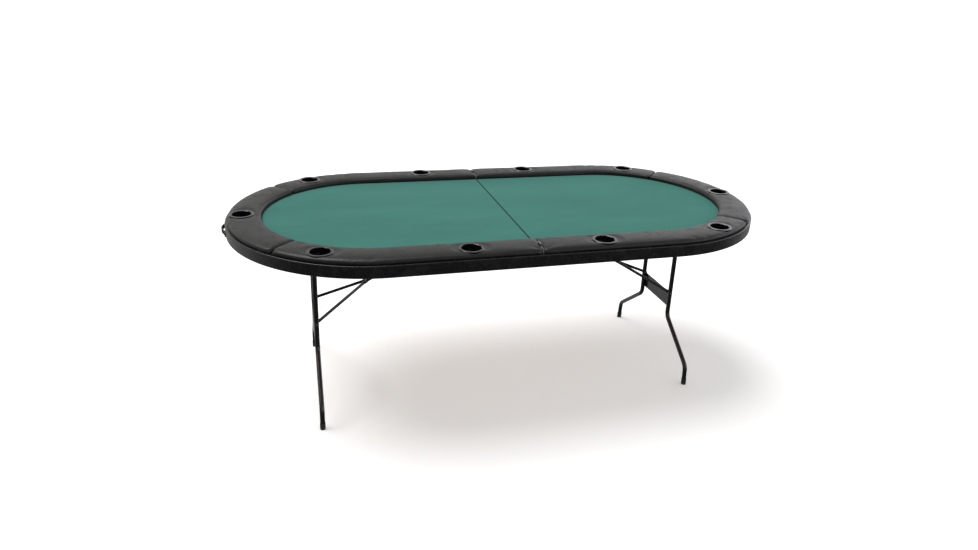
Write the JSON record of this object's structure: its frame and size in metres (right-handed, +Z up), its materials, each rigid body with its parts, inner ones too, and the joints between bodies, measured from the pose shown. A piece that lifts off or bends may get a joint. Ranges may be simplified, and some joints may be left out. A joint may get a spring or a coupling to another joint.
{
  "type": "folding poker table",
  "caption": "Folding poker table: oval felt top with a padded vinyl rail and cup holders, hinged across the middle, on two steel wishbone legs with elbow braces.",
  "frame": {"origin": "on the floor, under the middle of the table", "axes": "+X along the table's length, +Y to its back, +Z up"},
  "size_m": [2.17, 1.086, 0.7714],
  "materials": {
    "felt": "napped teal-green felt",
    "pad_vinyl": "satin black grained vinyl over foam",
    "apron_vinyl": "satin black vinyl stretched over board",
    "board": "raw fibreboard",
    "cup_plastic": "glossy black",
    "handle_plastic": "matt black",
    "leg_paint": "gloss black powder coat",
    "black_bracket": "satin black",
    "foot_rubber": "matt moulded rubber",
    "zinc": "bright zinc plate",
    "hinge_steel": "bright zinc-plated steel"
  },
  "bodies": {
    "left_half": {"left_deck_board": "board", "left_felt": "felt", "left_apron": "apron_vinyl", "left_fold_rail": "board", "left_handle": "handle_plastic", "left_handle_screws": "zinc", "left_leg_saddles": "black_bracket", "left_wood_screws": "zinc", "left_brace_bracket": "black_bracket", "left_brace_pin": "zinc", "left_hinge_leaves": "hinge_steel", "left_pad_front": "pad_vinyl", "left_pad_end": "pad_vinyl", "left_pad_back": "pad_vinyl", "left_cup_front_inner": "cup_plastic", "left_cup_front_outer": "cup_plastic", "left_cup_end": "cup_plastic", "left_cup_back_outer": "cup_plastic", "left_cup_back_inner": "cup_plastic", "hinge_pins": "hinge_steel"},
    "left_leg": {"left_leg_top_tube": "leg_paint", "left_leg_front_tube": "leg_paint", "left_leg_back_tube": "leg_paint", "left_leg_panel": "leg_paint", "left_leg_feet": "foot_rubber", "left_leg_pivot_bolts": "zinc"},
    "left_link": {"left_brace_link": "leg_paint", "left_brace_elbow_pin": "zinc"},
    "left_struts": {"left_brace_struts": "leg_paint", "left_brace_rivets": "zinc"},
    "right_half": {"right_deck_board": "board", "right_felt": "felt", "right_apron": "apron_vinyl", "right_fold_rail": "board", "right_handle": "handle_plastic", "right_handle_screws": "zinc", "right_leg_saddles": "black_bracket", "right_wood_screws": "zinc", "right_brace_bracket": "black_bracket", "right_brace_pin": "zinc", "right_hinge_leaves": "hinge_steel", "right_pad_front": "pad_vinyl", "right_pad_end": "pad_vinyl", "right_pad_back": "pad_vinyl", "right_cup_front_inner": "cup_plastic", "right_cup_front_outer": "cup_plastic", "right_cup_end": "cup_plastic", "right_cup_back_outer": "cup_plastic", "right_cup_back_inner": "cup_plastic"},
    "right_leg": {"right_leg_top_tube": "leg_paint", "right_leg_front_tube": "leg_paint", "right_leg_back_tube": "leg_paint", "right_leg_panel": "leg_paint", "right_leg_feet": "foot_rubber", "right_leg_pivot_bolts": "zinc"},
    "right_link": {"right_brace_link": "leg_paint", "right_brace_elbow_pin": "zinc"},
    "right_struts": {"right_brace_struts": "leg_paint", "right_brace_rivets": "zinc"}
  },
  "joints": [
    {"name": "table_fold", "type": "hinge", "parent": "left_half", "child": "right_half", "pos_m": [0, 0, 0.769], "axis": [0, -1, 0], "range_deg": [0, 180]},
    {"name": "left_leg_fold", "type": "hinge", "parent": "left_half", "child": "left_leg", "pos_m": [-0.761, 0, 0.72], "axis": [0, -1, 0], "range_deg": [0, 90.95]},
    {"name": "left_link_swing", "type": "hinge", "parent": "left_half", "child": "left_link", "pos_m": [-0.083, 0, 0.72], "axis": [0, 1, 0], "range_deg": [0, 28.71]},
    {"name": "left_struts_swing", "type": "hinge", "parent": "left_leg", "child": "left_struts", "pos_m": [-0.76723, 0, 0.34605], "axis": [0, -1, 0], "range_deg": [0, 60.44]},
    {"name": "right_leg_fold", "type": "hinge", "parent": "right_half", "child": "right_leg", "pos_m": [0.761, 0, 0.72], "axis": [0, 1, 0], "range_deg": [0, 90.95]},
    {"name": "right_link_swing", "type": "hinge", "parent": "right_half", "child": "right_link", "pos_m": [0.083, 0, 0.72], "axis": [0, -1, 0], "range_deg": [0, 28.71]},
    {"name": "right_struts_swing", "type": "hinge", "parent": "right_leg", "child": "right_struts", "pos_m": [0.76723, 0, 0.34605], "axis": [0, 1, 0], "range_deg": [0, 60.44]}
  ],
  "couplings": [
    {"joint": "left_link_swing", "follows": "left_leg_fold", "ratio": 0.31507},
    {"joint": "left_struts_swing", "follows": "left_leg_fold", "ratio": 0.66393},
    {"joint": "right_link_swing", "follows": "right_leg_fold", "ratio": 0.31507},
    {"joint": "right_struts_swing", "follows": "right_leg_fold", "ratio": 0.66393}
  ]
}
